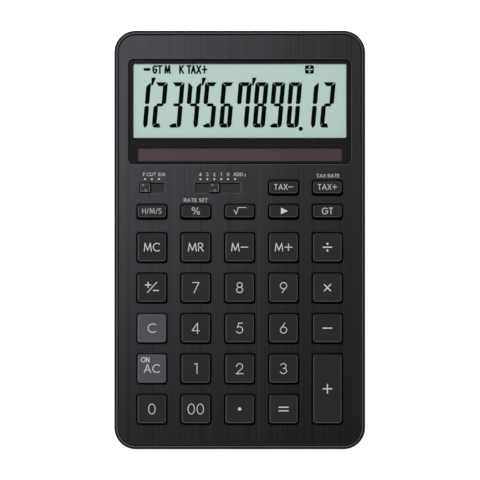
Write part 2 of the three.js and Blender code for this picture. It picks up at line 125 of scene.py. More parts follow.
def circle(radius, x=0.0, y=0.0):
    return Rect(2 * radius, 2 * radius, radius, x, y)


def arc(x, y, radius_x, radius_y, start, end, steps=16):
    """Points along part of an ellipse. Angles are in degrees, anticlockwise from +X."""
    points = []
    for step in range(steps + 1):
        angle = math.radians(start + (end - start) * step / steps)
        points.append((x + radius_x * math.cos(angle), y + radius_y * math.sin(angle)))
    return points


# ---- Meshes ------------------------------------------------------------------


# How upright the normals of the faces that count as chamfers are. Those faces take the edge material, a
# lighter, glossier copy that paints highlights along them.
CHAMFER_TILT = (0.78, 0.97)


def piece_from(name, bm, material, body=CASE, sharp=35, edge=None):
    """Turns a bmesh in millimetres into an object on a body. Edge is a lighter, glossier copy of its material
    for its chamfers alone, which paints highlights along them.
    """
    bmesh.ops.scale(bm, vec=(MM, MM, MM), verts=bm.verts)
    mesh = bpy.data.meshes.new(name)
    if edge:
        bm.normal_update()
        for face in bm.faces:
            face.material_index = int(CHAMFER_TILT[0] < face.normal.z < CHAMFER_TILT[1])
    bm.to_mesh(mesh)
    bm.free()
    mesh.materials.append(material)
    if edge:
        mesh.materials.append(edge)
    mesh.shade_smooth()
    mesh.set_sharp_from_angle(angle=math.radians(sharp))
    piece = bpy.data.objects.new(name, mesh)
    bpy.context.scene.collection.objects.link(piece)
    weighted = piece.modifiers.new("even_normals", "WEIGHTED_NORMAL")
    weighted.keep_sharp = True
    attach(piece, body)
    return piece


def add_ring(bm, points, z):
    return [bm.verts.new((x, y, z)) for x, y in points]


def bridge(bm, lower, upper):
    """A band of quads between two rings of equally many points."""
    count = len(lower)
    for i in range(count):
        j = (i + 1) % count
        bm.faces.new((lower[i], lower[j], upper[j], upper[i]))


def skin(bm, rings, close_start=True, close_end=True):
    """A skin through (outline, z) rings, anticlockwise and going up."""
    rows = [add_ring(bm, outline, z) for outline, z in rings]
    for lower, upper in zip(rows, rows[1:]):
        bridge(bm, lower, upper)
    if close_start:
        bm.faces.new(list(reversed(rows[0])))
    if close_end:
        bm.faces.new(rows[-1])
    return rows


def fill(bm, rows):
    """Triangles between an outer ring of vertices and the rings of its holes."""
    verts = [vert for row in rows for vert in row]
    for triangle in tessellate_polygon([[vert.co for vert in row] for row in rows]):
        bm.faces.new([verts[i] for i in triangle])


def outward(bm):
    bmesh.ops.recalc_face_normals(bm, faces=bm.faces)


def sink(bm, outline, z, depth, chamfer=0.1):
    """A pocket going up into a downward face at z. It returns the ring that the face is filled round."""
    lip = add_ring(bm, outline.grown(chamfer).points(), z)
    edge = add_ring(bm, outline.points(), z + chamfer)
    floor = add_ring(bm, outline.points(), z + depth)
    bridge(bm, lip, edge)
    bridge(bm, edge, floor)
    bm.faces.new(floor)
    return lip


# How deep a plate's chamfer is for its width.
CHAMFER_SLOPE = 0.64


def plate(name, outer, holes, back, front, chamfer, material, slot, edge=None):
    """A flat plate with holes. The edges of its front are chamfered to that width."""
    shoulder_z = front - math.copysign(chamfer * CHAMFER_SLOPE, front - back)
    bm = bmesh.new()
    fronts, backs = [], []
    for index, rect in enumerate([outer, *holes]):
        inward = -chamfer if index == 0 else chamfer
        backs.append(add_ring(bm, rect.points(), back))
        shoulder = add_ring(bm, rect.points(), shoulder_z)
        fronts.append(add_ring(bm, rect.grown(inward).points(), front))
        bridge(bm, backs[-1], shoulder)
        bridge(bm, shoulder, fronts[-1])
    fill(bm, fronts)
    fill(bm, backs)
    outward(bm)
    return piece_from(name, bm, material, CASE, sharp=20, edge=edge)


def quarter_insets(plan, height, steps=5):
    """(inset, rise) along a quarter of an ellipse that turns a side over into a face."""
    angles = [math.pi / 2 * step / steps for step in range(1, steps + 1)]
    return [(plan * (1 - math.cos(angle)), height * math.sin(angle)) for angle in angles]


# ---- Materials ---------------------------------------------------------------


class Look:
    """A Principled material, and short ways to add nodes to it."""

    def __init__(self, name, color, roughness, metallic=0.0, specular=0.5):
        self.material = bpy.data.materials.new(name)
        self.material.use_nodes = True
        self.nodes = self.material.node_tree.nodes
        self.links = self.material.node_tree.links
        self.surface = self.nodes["Principled BSDF"]
        self.color = (*color, 1.0)
        self.surface.inputs["Base Color"].default_value = self.color
        self.surface.inputs["Roughness"].default_value = roughness
        self.surface.inputs["Metallic"].default_value = metallic
        self.surface.inputs["Specular IOR Level"].default_value = specular
        coordinates = self.nodes.new("ShaderNodeTexCoord")
        self.position = coordinates.outputs["Object"]

    def noise(self, scale, stretch=(1.0, 1.0, 1.0), detail=3.0):
        """Noise with that many features per millimetre, stretched along the axes."""
        mapping = self.nodes.new("ShaderNodeMapping")
        for axis in range(3):
            mapping.inputs["Scale"].default_value[axis] = 1 / stretch[axis]
        self.links.new(self.position, mapping.inputs["Vector"])
        noise = self.nodes.new("ShaderNodeTexNoise")
        noise.inputs["Scale"].default_value = scale / MM
        noise.inputs["Detail"].default_value = detail
        self.links.new(mapping.outputs["Vector"], noise.inputs["Vector"])
        return noise.outputs["Fac"]

    def between(self, factor, low, high, start=0.3, end=0.7):
        """The factor's range from start to end, spread over low to high."""
        spread = self.nodes.new("ShaderNodeMapRange")
        spread.inputs["From Min"].default_value = start
        spread.inputs["From Max"].default_value = end
        spread.inputs["To Min"].default_value = low
        spread.inputs["To Max"].default_value = high
        self.links.new(factor, spread.inputs["Value"])
        return spread.outputs["Result"]

    def average(self, a, b, share=0.5):
        mix = self.nodes.new("ShaderNodeMix")
        mix.inputs["Factor"].default_value = share
        self.links.new(a, mix.inputs["A"])
        self.links.new(b, mix.inputs["B"])
        return mix.outputs["Result"]

    def vary_color(self, factor):
        """Multiplies the base colour by a factor."""
        scale = self.nodes.new("ShaderNodeVectorMath")
        scale.operation = "SCALE"
        scale.inputs[0].default_value = self.color[:3]
        self.links.new(factor, scale.inputs["Scale"])
        self.links.new(scale.outputs["Vector"], self.surface.inputs["Base Color"])

    def vary_roughness(self, factor):
        self.links.new(factor, self.surface.inputs["Roughness"])

    def bump(self, height, distance):
        """Relief of that depth in millimetres."""
        bump = self.nodes.new("ShaderNodeBump")
        bump.inputs["Distance"].default_value = distance * MM
        self.links.new(height, bump.inputs["Height"])
        self.links.new(bump.outputs["Normal"], self.surface.inputs["Normal"])


def brushed_metal(name, color, roughness):
    """Dark metal with fine brushing along Y, in lines as long as the plate."""
    look = Look(name, color, roughness, metallic=1.0)
    lines = look.noise(2.2, stretch=(1.0, 900.0, 1.0), detail=6.0)
    bands = look.noise(0.25, stretch=(1.0, 700.0, 1.0), detail=2.0)
    brushing = look.average(lines, bands, 0.25)
    look.vary_color(look.between(brushing, 0.78, 1.25, 0.32, 0.68))
    look.vary_roughness(look.between(lines, roughness - 0.04, roughness + 0.04))
    look.bump(lines, 0.004)
    return look.material


def moulded(name, color, roughness, grain=5.0, relief=0.004, specular=0.5):
    """Moulded plastic or rubber: a fine grain in its relief, gloss and shade."""
    look = Look(name, color, roughness, specular=specular)
    fine = look.noise(grain)
    broad = look.noise(0.08, detail=2.0)
    look.vary_color(look.between(broad, 0.94, 1.06))
    look.vary_roughness(look.between(look.average(fine, broad), roughness - 0.06, roughness + 0.06))
    look.bump(fine, relief)
    return look.material


def turned_metal(name, color, roughness):
    """Bright metal with faint scratches."""
    look = Look(name, color, roughness, metallic=1.0)
    scratches = look.noise(2.0, stretch=(1.0, 12.0, 1.0), detail=4.0)
    look.vary_roughness(look.between(scratches, roughness - 0.08, roughness + 0.12))
    look.bump(scratches, 0.002)
    return look.material


# What a clear sheet reflects of the light that meets it face on and edge on, and how steeply that rises.
REFLECTED_FACE_ON = 0.008
REFLECTED_EDGE_ON = 0.6
REFLECTION_POWER = 5.0


def clear_acrylic(name):
    """A thin clear sheet: it lets light straight through and reflects a little."""
    look = Look(name, (1.0, 1.0, 1.0), 0.06)
    output = look.nodes["Material Output"]
    through = look.nodes.new("ShaderNodeBsdfTransparent")
    gloss = look.nodes.new("ShaderNodeBsdfGlossy")
    smudges = look.noise(0.05, detail=2.0)
    look.links.new(look.between(smudges, 0.03, 0.09), gloss.inputs["Roughness"])
    edge_on = look.nodes.new("ShaderNodeLayerWeight")
    edge_on.inputs["Blend"].default_value = 0.5
    steepened = look.nodes.new("ShaderNodeMath")
    steepened.operation = "POWER"
    steepened.inputs[1].default_value = REFLECTION_POWER
    look.links.new(edge_on.outputs["Facing"], steepened.inputs[0])
    reflected = look.between(steepened.outputs["Value"], REFLECTED_FACE_ON, REFLECTED_EDGE_ON, 0.0, 1.0)
    mix = look.nodes.new("ShaderNodeMixShader")
    look.links.new(reflected, mix.inputs["Fac"])
    look.links.new(through.outputs["BSDF"], mix.inputs[1])
    look.links.new(gloss.outputs["BSDF"], mix.inputs[2])
    look.links.new(mix.outputs["Shader"], output.inputs["Surface"])
    look.nodes.remove(look.surface)
    return look.material


def crystal_glass(name, color):
    """The display's matt grey-green reflector, with its faint sparkle."""
    look = Look(name, color, 0.6, specular=0.1)
    sparkle = look.noise(3.0, detail=2.0)
    look.vary_color(look.between(sparkle, 0.985, 1.015))
    return look.material


def solar_film(name, color):
    """Dark brown film, a little cloudy."""
    look = Look(name, color, 0.3, specular=0.1)
    cloud = look.noise(0.04, detail=2.0)
    look.vary_color(look.between(cloud, 0.93, 1.07))
    return look.material


def ink(name, color):
    """Printed ink, a little uneven."""
    look = Look(name, color, 0.6, specular=0.02)
    look.vary_color(look.between(look.noise(1.2), 0.93, 1.05))
    return look.material


PLATE_METAL = brushed_metal("plate_metal", (0.0805, 0.079, 0.088), 0.4)
# The plate's chamfers: a lighter copy of the plate metal, a painted highlight along every edge.
PLATE_EDGE_HIGHLIGHT = brushed_metal("plate_edge_painted_highlight", (0.14, 0.138, 0.15), 0.3)
CASE_PLASTIC = moulded("case_plastic", (0.008, 0.008, 0.0085), 0.4, specular=0.1)
WEB_PLASTIC = moulded("web_plastic", (0.03, 0.03, 0.032), 0.6, specular=0.05)
# Far darker than the web plastic: painted shade in the gap round the display mask.
LEDGE_PAINTED_SHADE = moulded("ledge_painted_shade", (0.004, 0.004, 0.004), 0.7, specular=0.02)
# The rim's chamfer: lighter and glossier than the case plastic, a painted highlight line.
CASE_EDGE_HIGHLIGHT = moulded("case_edge_painted_highlight", (0.026, 0.026, 0.027), 0.25, specular=0.9)
# The caps' chamfers: lighter, glossier copies of the key plastics, painted edge highlights.
KEY_EDGE_HIGHLIGHT = moulded("key_edge_painted_highlight", (0.022, 0.022, 0.023), 0.22, specular=1.0)
GREY_KEY_EDGE_HIGHLIGHT = moulded("grey_key_edge_painted_highlight", (0.07, 0.069, 0.078), 0.22, specular=1.0)
BACK_PLASTIC = moulded("back_plastic", (0.012, 0.012, 0.0126), 0.55, grain=2.5, relief=0.03)
KEY_PLASTIC = moulded("key_plastic", (0.0203, 0.02, 0.0215), 0.5, specular=0.08)
GREY_KEY_PLASTIC = moulded("grey_key_plastic", (0.0675, 0.0665, 0.0745), 0.5, specular=0.08)
KNOB_PLASTIC = moulded("knob_plastic", (0.026, 0.026, 0.028), 0.5, specular=0.08)
# Far lighter than the knob plastic: painted glints on the knob's dashes and dish rim.
KNOB_EDGE_HIGHLIGHT = moulded("knob_edge_painted_highlight", (0.17, 0.17, 0.175), 0.22, specular=1.0)
BEZEL_BLACK = moulded("bezel_black", (0.0115, 0.0105, 0.0115), 0.45, relief=0.001, specular=0.05)
RUBBER = moulded("foot_rubber", (0.012, 0.012, 0.012), 0.85, grain=3.0, relief=0.02)
SILICONE = moulded("silicone", (0.50, 0.50, 0.47), 0.6)
BOARD_MASK = moulded("board_mask", (0.012, 0.085, 0.032), 0.4, grain=1.5)
RESIN = moulded("chip_resin", (0.006, 0.006, 0.006), 0.25, grain=0.6, relief=0.02)
FILM = moulded("lead_film", (0.42, 0.17, 0.03), 0.35)
ACRYLIC = clear_acrylic("window_acrylic")
LCD_BACK = crystal_glass("lcd_back", (0.394, 0.505, 0.477))
SOLAR_FILM = solar_film("solar_film", (0.062, 0.043, 0.045))
LCD_INK = ink("lcd_segments", (0.0015, 0.002, 0.002))
WHITE_INK = ink("legend_ink", (0.5, 0.5, 0.51))
SCREW_STEEL = turned_metal("screw_steel", (0.35, 0.35, 0.36), 0.35)
SPRING_STEEL = turned_metal("spring_steel", (0.55, 0.54, 0.52), 0.3)
CELL_STEEL = turned_metal("cell_steel", (0.62, 0.62, 0.63), 0.22)


# ---- Printed signs -----------------------------------------------------------

# Each sign is its width and its pen lines, on a grid where a capital is 1 high.
SIGNS = {
    "0": (0.64, [arc(0.32, 0.5, 0.32, 0.5, 0, 360, 32)]),
    "1": (0.24, [[(0.0, 0.95), (0.24, 1.0), (0.24, 0.0)]]),
    "2": (0.64, [arc(0.31, 0.69, 0.3, 0.31, 175, -35) + [(0.0, 0.0), (0.66, 0.0)]]),
    "3": (0.62, [arc(0.29, 0.76, 0.26, 0.24, 160, -90), arc(0.29, 0.27, 0.32, 0.27, 90, -155)]),
    "4": (0.70, [[(0.52, 0.0), (0.52, 1.0), (0.0, 0.24), (0.70, 0.24)]]),
    "5": (0.62, [[(0.58, 1.0), (0.22, 1.0), (0.1, 0.55)] + arc(0.29, 0.32, 0.32, 0.32, 118, -150)]),
    "6": (0.64, [arc(0.32, 0.31, 0.32, 0.31, 0, 360, 32), [(0.46, 1.0), (0.05, 0.45)]]),
    "7": (0.62, [[(0.0, 1.0), (0.62, 1.0), (0.14, 0.0)]]),
    "8": (0.60, [arc(0.3, 0.76, 0.25, 0.24, 0, 360, 32), arc(0.3, 0.27, 0.3, 0.27, 0, 360, 32)]),
    "9": (0.64, [arc(0.32, 0.69, 0.32, 0.31, 0, 360, 32), [(0.18, 0.0), (0.59, 0.55)]]),
    "A": (0.78, [[(0.0, 0.0), (0.39, 1.0), (0.78, 0.0)], [(0.13, 0.32), (0.65, 0.32)]]),
    "C": (0.82, [arc(0.5, 0.5, 0.5, 0.5, 50, 310, 28)]),
    "D": (0.68, [[(0.0, 0.0), (0.0, 1.0)] + arc(0.18, 0.5, 0.5, 0.5, 90, -90) + [(0.0, 0.0)]]),
    "E": (0.46, [[(0.46, 1.0), (0.0, 1.0), (0.0, 0.0), (0.46, 0.0)], [(0.0, 0.52), (0.42, 0.52)]]),
    "F": (0.46, [[(0.46, 1.0), (0.0, 1.0), (0.0, 0.0)], [(0.0, 0.52), (0.42, 0.52)]]),
    "G": (0.98, [arc(0.5, 0.5, 0.5, 0.5, 45, 355, 28) + [(0.55, 0.5)]]),
    "H": (0.64, [[(0.0, 0.0), (0.0, 1.0)], [(0.64, 0.0), (0.64, 1.0)], [(0.0, 0.52), (0.64, 0.52)]]),
    "K": (0.58, [[(0.0, 0.0), (0.0, 1.0)], [(0.54, 1.0), (0.0, 0.42)], [(0.16, 0.58), (0.58, 0.0)]]),
    "M": (0.92, [[(0.0, 0.0), (0.12, 1.0), (0.46, 0.1), (0.80, 1.0), (0.92, 0.0)]]),
    "N": (0.66, [[(0.0, 0.0), (0.0, 1.0), (0.66, 0.0), (0.66, 1.0)]]),
    "O": (1.00, [arc(0.5, 0.5, 0.5, 0.5, 0, 360, 36)]),
    "R": (
        0.54,
        [
            [(0.0, 0.0), (0.0, 1.0)] + arc(0.24, 0.74, 0.26, 0.26, 90, -90) + [(0.0, 0.48)],
            [(0.22, 0.48), (0.54, 0.0)],
        ],
    ),
    "S": (0.54, [arc(0.27, 0.755, 0.24, 0.245, 35, 270) + arc(0.27, 0.255, 0.27, 0.255, 90, -145)]),
    "T": (0.58, [[(0.0, 1.0), (0.58, 1.0)], [(0.29, 1.0), (0.29, 0.0)]]),
    "U": (0.60, [[(0.0, 1.0)] + arc(0.3, 0.3, 0.3, 0.3, 180, 360) + [(0.6, 1.0)]]),
    "X": (0.62, [[(0.0, 0.0), (0.62, 1.0)], [(0.0, 1.0), (0.62, 0.0)]]),
    "/": (0.36, [[(0.0, -0.04), (0.36, 1.04)]]),
    "+": (0.86, [[(0.0, 0.5), (0.86, 0.5)], [(0.43, 0.07), (0.43, 0.93)]]),
    "-": (0.80, [[(0.0, 0.5), (0.80, 0.5)]]),
}
SIGN_GAP = 0.26
WORD_GAP = 0.42

# The sharpest corner, in degrees of turn, that a line goes round with a mitre, and the least cosine that a
# mitre's length is worked out with.
SHARP_TURN = 122
MITRE_LIMIT = 0.45
SAME_POINT = 1e-6


def strokes(points):
    """A line cut at its sharp corners, where a mitre would thin it."""
    lines = [[points[0]]]
    for before, corner, after in zip(points, points[1:], points[2:]):
        lines[-1].append(corner)
        turn = (Vector(corner) - Vector(before)).angle(Vector(after) - Vector(corner), 0.0)
        if turn > math.radians(SHARP_TURN):
            lines.append([corner])
    lines[-1].append(points[-1])
    return lines


def capped(points, reach):
    """An open line made longer by that much at both ends."""
    first, second, second_last, last = [Vector(points[i]) for i in (0, 1, -2, -1)]
    if (last - first).length < SAME_POINT:
        return points
    start = first + (first - second).normalized() * reach
    end = last + (last - second_last).normalized() * reach
    return [tuple(start), *points[1:-1], tuple(end)]


def pen_line(points, pen):
    """The quads of a line of that width through the points. It closes where it ends as it starts."""
    closed = math.dist(points[0], points[-1]) < SAME_POINT
    spine = [Vector(point) for point in (points[:-1] if closed else points)]
    count = len(spine)
    edges = []
    for i, point in enumerate(spine):
        into = point - spine[i - 1] if closed or i > 0 else None
        out = spine[(i + 1) % count] - point if closed or i < count - 1 else None
        into, out = into or out, out or into
        normals = [Vector((-way.y, way.x)).normalized() for way in (into, out)]
        mitre = (normals[0] + normals[1]).normalized()
        reach = pen / 2 / max(mitre.dot(normals[0]), MITRE_LIMIT)
        edges.append((point + mitre * reach, point - mitre * reach))
    last = count if closed else count - 1
    quads = []
    for i in range(last):
        (a, b), (c, d) = edges[i], edges[(i + 1) % count]
        quads.append([tuple(b), tuple(d), tuple(c), tuple(a)])
    return quads


def lettering(text, height, pen, width=None):
    """The shapes of a line of signs, centred on the origin, with its natural width if none is given."""
    lines = []
    cursor = 0.0
    for sign in text:
        if sign == " ":
            cursor += WORD_GAP
            continue
        sign_width, sign_lines = SIGNS[sign]
        lines += [[(cursor + x, y) for x, y in line] for line in sign_lines]
        cursor += sign_width + SIGN_GAP
    total = cursor - SIGN_GAP
    scale_y = height - pen
    scale_x = (width - pen) / total if width else scale_y
    shapes = []
    for line in lines:
        placed = [((x - total / 2) * scale_x, (y - 0.5) * scale_y) for x, y in line]
        shapes += [pen_line(capped(stroke, pen / 2), pen) for stroke in strokes(placed)]
    return shapes


def dot(x, y, diameter):
    return [arc(x, y, diameter / 2, diameter / 2, 0, 360, 20)[:-1]]


def bar(x, y, length, pen):
    return pen_line([(x - length / 2, y), (x + length / 2, y)], pen)


def divide_shape(length, pen, dot_y, diameter):
    return [bar(0.0, 0.0, length, pen), dot(0.0, dot_y, diameter), dot(0.0, -dot_y, diameter)]


def shifted(shapes, x, y):
    """Shapes moved by x, y."""
    return [[[(px + x, py + y) for px, py in polygon] for polygon in shape] for shape in shapes]


# How high ink stands, and the share of that between the shapes of one print that follow each other.
INK_HEIGHT = 0.02
LAYER_STEP = 0.15
LAYERS = 4


def printed(name, shapes, z, material, body=CASE):
    """A thin print on a surface at z. Shapes that cross lie a hair above each other."""
    bm = bmesh.new()
    for layer, shape in enumerate(shapes):
        level = z + INK_HEIGHT * (1 + LAYER_STEP * (layer % LAYERS))
        for polygon in shape:
            face = bm.faces.new([bm.verts.new((x, y, level)) for x, y in polygon])
            face.normal_update()
            if face.normal.z < 0:
                face.normal_flip()
    bmesh.ops.remove_doubles(bm, verts=bm.verts, dist=1e-4)
    return piece_from(name, bm, material, body)


# ---- Case and face plate -----------------------------------------------------

# Gaps are between a piece and the opening that it sits in.
WINDOW_GAP = 0.25
OUTLINE = rect_of("upper_case", CASE_CORNER)
PLATE = rect_of("face_plate", PLATE_CORNER)
DISPLAY_OPENING = rect_of("display_window", DISPLAY_CORNER - WINDOW_GAP, grow=WINDOW_GAP)
PLATE_CHAMFER = 0.2

SLOT_GAP = 0.15
SLOT_END_GAP = 0.06
SLOT_CORNER = 0.35

# The rim's top edge from its outside in, as insets from the outline and depths below the rim's top.
RIM_PROFILE = ((0.0, 1.4), (0.05, 1.24), (0.98, 0.34), (1.04, 0.29), (1.44, 0.03), (1.5, 0.0))
RIM_INNER = 1.6
RIM_INNER_CHAMFER = 0.06
PLATE_INSET = 2.05
GROOVE_FLOOR = 9.05

WEB_INSET = 2.0
WEB_CHAMFER = 0.03
WEB_BOTTOM, SLOT_FLOOR, WEB_TOP = 7.9, 8.5, 9.15
LEDGE = 1.1
LEDGE_TOP = 8.1

# How far the lower case's lip stands above the line where the case's halves meet, the gap between them there,
# how far in their edges go, and those edges' rounding as insets and distances from the edge.
LIP_HEIGHT = 0.75
PARTING_GAP = 0.1
PARTING = box_mm("lower_case")[1].z - LIP_HEIGHT
PARTING_REACH = 2.2
PARTING_EDGE = ((0.18, 0.0), (0.05, 0.05), (0.0, 0.18))

BACK_BEVEL = (3.0, 3.2)
FOOT_RADIUS = 4.5
FOOT_ROUND = 0.4
FOOT_FLAT = 0.45
FOOT_GAP = 0.2
FOOT_POCKET = 0.5
BORE_GAP = 0.3
BORE_DEPTH = 0.7
BORE_CHAMFER = 0.2

SCREW_RADIUS = 2.0
COVER_SCREW_RADIUS = 1.7
SCREW_HEAD = {"height": 0.5, "edge_inset": 0.3, "edge_height": 0.15}
# The reach and half-width of a screw's cross recess, at its lip and floor, as shares of the head's radius.
CROSS_LIP = (0.62, 0.16)
CROSS_FLOOR = (0.45, 0.1)
CROSS_DEPTH = 0.35

COVER = Rect(32.0, 29.0, 1.5, 22.0, 58.0)
COVER_THICKNESS = 0.85
COVER_CHAMFER = 0.2
COVER_GAP = 0.2
COVER_POCKET = {"depth": 0.9, "chamfer": 0.15}
COVER_BORE = {"gap": 0.2, "depth": 0.55, "chamfer": 0.15}
GRIP = {"grooves": 6, "pitch": 1.5, "inset": 3.0, "width": 0.7, "length": 11.0, "depth": 0.3, "chamfer": 0.12}
GRIP_CORNER = 0.34


def key_rect(node):
    """A key's foot in plan, without its hidden flange."""
    return rect_of(node, HOLE_CORNER + KEY_FLANGE, grow=-KEY_FLANGE)


def slot_rect(name):
    """The slot that a switch's knob runs in: the knob in plan, widened by its travel."""
    low, high = box_mm(name + "_knob")
    joint = next(joint for joint in frame["joints"] if joint["child"] == name + "_knob")
    left, right = (limit / MM for limit in joint["range_m"])
    low.x += left
    high.x += right
    centre = (low + high) / 2
    width = high.x - low.x + 2 * SLOT_END_GAP
    length = high.y - low.y + 2 * SLOT_GAP
    return Rect(width, length, SLOT_CORNER, centre.x, centre.y)


KEY_HOLES = [key_rect(key) for key in KEYS]
SLOTS = [slot_rect(name) for name in SWITCHES]


def make_face_plate():
    low, high = box_mm("face_plate")
    holes = [DISPLAY_OPENING, *KEY_HOLES, *SLOTS]
    # The chamfers round the plate and its holes take the lighter edge metal: painted highlight lines.
    look = (PLATE_CHAMFER, PLATE_METAL, "brushed_plate", PLATE_EDGE_HIGHLIGHT)
    piece = plate("brushed_face", PLATE, holes, low.z, high.z, *look)
    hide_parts("face_plate")


def make_upper_case():
    """The rim that shows round the plate, with its groove. The shallow slope near its inner edge takes a
    lighter, glossier plastic: a painted highlight ring.
    """
    bottom = PARTING + PARTING_GAP / 2
    top = box_mm("upper_case")[1].z
    profile = [
        (PARTING_REACH, bottom),
        *((inset, bottom + rise) for inset, rise in PARTING_EDGE),
        *((inset, top - depth) for inset, depth in RIM_PROFILE),
        (RIM_INNER - RIM_INNER_CHAMFER, top),
        (RIM_INNER, top - RIM_INNER_CHAMFER),
        (RIM_INNER, GROOVE_FLOOR),
        (PLATE_INSET, GROOVE_FLOOR),
        (PLATE_INSET, WEB_BOTTOM),
    ]
    rings = [(OUTLINE.grown(-inset).points(16), z) for inset, z in profile]
    bm = bmesh.new()
    skin(bm, rings, close_start=False, close_end=False)
    rim = piece_from("case_rim", bm, CASE_PLASTIC, sharp=12, edge=CASE_EDGE_HIGHLIGHT)
    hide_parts("upper_case")


def make_web():
    """The floor under the face plate that the keys come through, and the ledge under the display, near black
    as painted shade in the gap round the display mask.
    """
    web = OUTLINE.grown(-WEB_INSET)
    holes = [DISPLAY_OPENING, *KEY_HOLES]
    look = (WEB_CHAMFER, WEB_PLASTIC, "case_black")
    plate("web_lower", web, holes, WEB_BOTTOM, SLOT_FLOOR, *look)
    plate("web_upper", web, [*holes, *SLOTS], SLOT_FLOOR, WEB_TOP, *look)
    look = (WEB_CHAMFER, LEDGE_PAINTED_SHADE, "case_black")
    plate("display_ledge", DISPLAY_OPENING, [DISPLAY_OPENING.grown(-LEDGE)], WEB_BOTTOM, LEDGE_TOP, *look)


def make_lower_case():
    """The back shell, with pockets for the feet, the screws and the battery cover."""
    bottom = box_mm("lower_case")[0].z
    top = PARTING - PARTING_GAP / 2
    side_bottom = bottom + BACK_BEVEL[1]
    profile = [
        *((inset, side_bottom - rise) for inset, rise in reversed(quarter_insets(*BACK_BEVEL, steps=8))),
        (0.0, side_bottom),
        *((inset, top - rise) for inset, rise in reversed(PARTING_EDGE)),
        (PARTING_REACH, top),
    ]
    bm = bmesh.new()
    rings = [(OUTLINE.grown(-inset).points(), z) for inset, z in profile]
    rows = skin(bm, rings, close_start=False, close_end=False)
    pockets = [rect_of("foot_" + corner, FOOT_RADIUS, grow=FOOT_GAP) for corner in CORNERS]
    bores = [rect_of("case_screw_" + corner, SCREW_RADIUS, grow=BORE_GAP) for corner in CORNERS]
    lips = [sink(bm, pocket, bottom, FOOT_POCKET) for pocket in pockets]
    lips += [sink(bm, bore, bottom, BORE_DEPTH, BORE_CHAMFER) for bore in bores]
    lips.append(sink(bm, COVER.grown(COVER_GAP), bottom, **COVER_POCKET))
    fill(bm, [rows[0], *lips])
    bmesh.ops.remove_doubles(bm, verts=bm.verts, dist=1e-5)
    outward(bm)
    piece = piece_from("case_back", bm, BACK_PLASTIC)
    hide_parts("lower_case")


def make_foot(corner):
    node = "foot_" + corner
    low, high = box_mm(node)
    rect = rect_of(node, FOOT_RADIUS)
    turn = reversed(quarter_insets(FOOT_ROUND, FOOT_ROUND))
    profile = [(FOOT_FLAT, low.z)]
    profile += [(inset, low.z + FOOT_ROUND - rise) for inset, rise in turn]
    profile.append((0.0, high.z))
    bm = bmesh.new()
    skin(bm, [(rect.grown(-inset).points(), z) for inset, z in profile])
    piece = piece_from(node + "_pad", bm, RUBBER)
    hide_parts(node)


def make_screw(node, radius):
    """A pan head with a cross recess."""
    face = box_mm(node)[0].z
    centre = middle(node)
    head = circle(radius, centre.x, centre.y)
    rings = [
        (head.grown(-SCREW_HEAD["edge_inset"]).points(), face),
        (head.points(), face + SCREW_HEAD["edge_height"]),
        (head.points(), face + SCREW_HEAD["height"]),
    ]
    bm = bmesh.new()
    rows = skin(bm, rings, close_start=False)
    lip_size, floor_size = [[radius * share for share in shares] for shares in (CROSS_LIP, CROSS_FLOOR)]
    lip = add_ring(bm, cross(*lip_size, centre.x, centre.y), face)
    floor = add_ring(bm, cross(*floor_size, centre.x, centre.y), face + CROSS_DEPTH)
    bridge(bm, lip, floor)
    bm.faces.new(floor)
    fill(bm, [rows[0], lip])
    outward(bm)
    piece = piece_from(node + "_head", bm, SCREW_STEEL)
    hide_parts(node)


def cross(reach, half, x, y):
    """The outline of an upright cross, its arms that long and twice that half-width wide."""
    corners = [(reach, half), (half, half), (half, reach)]
    points = []
    for quarter in range(4):
        turn = math.pi / 2 * quarter
        for along, across in corners:
            points.append(
                (
                    x + along * math.cos(turn) - across * math.sin(turn),
                    y + along * math.sin(turn) + across * math.cos(turn),
                )
            )
    return points


def make_battery_cover():
    """A thin door with a bore for its screw, and grooves for a finger to slide it by."""
    bottom = box_mm("battery_cover")[0].z
    rings = [
        (COVER.grown(-COVER_CHAMFER).points(), bottom),
        (COVER.points(), bottom + COVER_CHAMFER),
        (COVER.points(), bottom + COVER_THICKNESS),
    ]
    bm = bmesh.new()
    rows = skin(bm, rings, close_start=False)
    screw = rect_of("cover_screw", COVER_SCREW_RADIUS, grow=COVER_BORE["gap"])
    lips = [sink(bm, screw, bottom, COVER_BORE["depth"], COVER_BORE["chamfer"])]
    first_x = COVER.x + COVER.width / 2 - GRIP["inset"]
    for i in range(GRIP["grooves"]):
        x = first_x - GRIP["pitch"] * i
        groove = Rect(GRIP["width"], GRIP["length"], GRIP_CORNER, x, COVER.y)
        lips.append(sink(bm, groove, bottom, GRIP["depth"], GRIP["chamfer"]))
    fill(bm, [rows[0], *lips])
    outward(bm)
    piece = piece_from("battery_door", bm, BACK_PLASTIC)
    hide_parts("battery_cover")


# ---- Display -----------------------------------------------------------------

LCD_APERTURE = Rect(93.4, 32.6, 0.6, 0.0, 61.06)
SOLAR_APERTURE = Rect(89.4, 5.9, 0.4, 0.0, 37.5)
MASK_GAP = 0.38
MASK_CHAMFER = 0.12
WINDOW_CHAMFER = 0.2


def make_display():
    """The black mask with its two apertures, and the clear window over it."""
    low, high = box_mm("display_bezel")
    outer = DISPLAY_OPENING.grown(-MASK_GAP)
    holes = [LCD_APERTURE, SOLAR_APERTURE]
    mask = plate("display_mask", outer, holes, low.z, high.z, MASK_CHAMFER, BEZEL_BLACK, "bezel_black")
    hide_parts("display_bezel")
    low, high = box_mm("display_window")
    outer = DISPLAY_OPENING.grown(-WINDOW_GAP)
    window = plate("clear_window", outer, [], low.z, high.z, WINDOW_CHAMFER, ACRYLIC, "window_clear")
    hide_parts("display_window")


DIGIT = {"width": 5.4, "height": 19.9, "pitch": 7.36, "left": -45.93, "bottom": 49.25, "slant": 0.087}
STEM = 2.0
LOWER_BAR = 1.85
UPPER_BAR = 1.75
MIDDLE_BAR_HALF = 0.68
